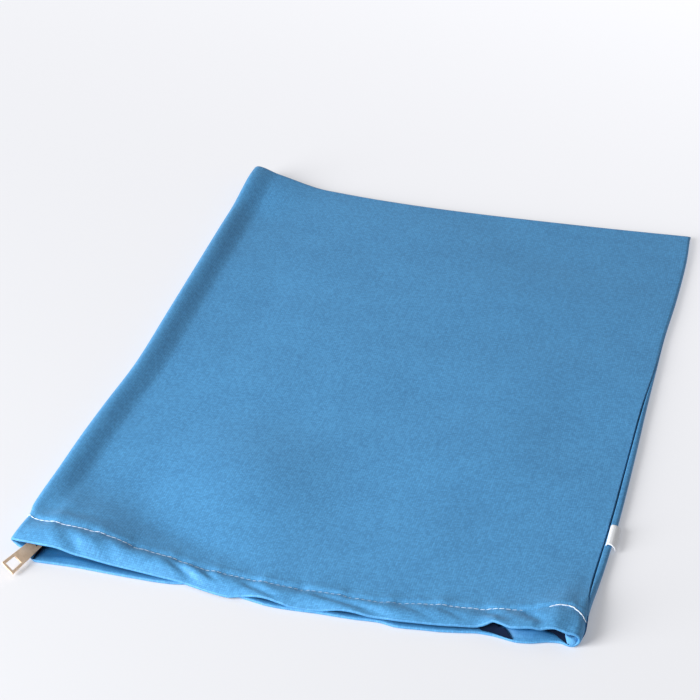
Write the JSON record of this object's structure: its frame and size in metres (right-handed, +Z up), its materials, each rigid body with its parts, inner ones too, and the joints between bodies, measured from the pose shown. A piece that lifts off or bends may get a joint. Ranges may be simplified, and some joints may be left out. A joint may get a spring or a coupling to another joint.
{
  "type": "zipped cloth bread bag",
  "caption": "Zipped cotton bread bag lying empty and flat, with a deep stitched hem at its mouth, a raised left edge and a flat zip pull hanging out at the front corner.",
  "frame": {"origin": "middle of the bag's flat underside, on the surface that it lies on", "axes": "+X to the bag's right edge, +Y from the zipped mouth to the closed back edge, +Z up out of the surface"},
  "size_m": [0.3058, 0.4547, 0.0125],
  "materials": {
    "cotton": "plain-woven mid-blue cotton canvas",
    "zip_tape": "fine woven navy tape",
    "zip_metal": "warm nickel plate, softly brushed",
    "label": "bare white woven tape"
  },
  "bodies": {
    "root": {"upper_panel": "cotton", "lower_panel": "cotton", "zip_tape": "zip_tape", "zip_teeth": "zip_metal", "zip_slider": "zip_metal", "zip_pull": "zip_metal", "side_label": "label"}
  },
  "joints": []
}
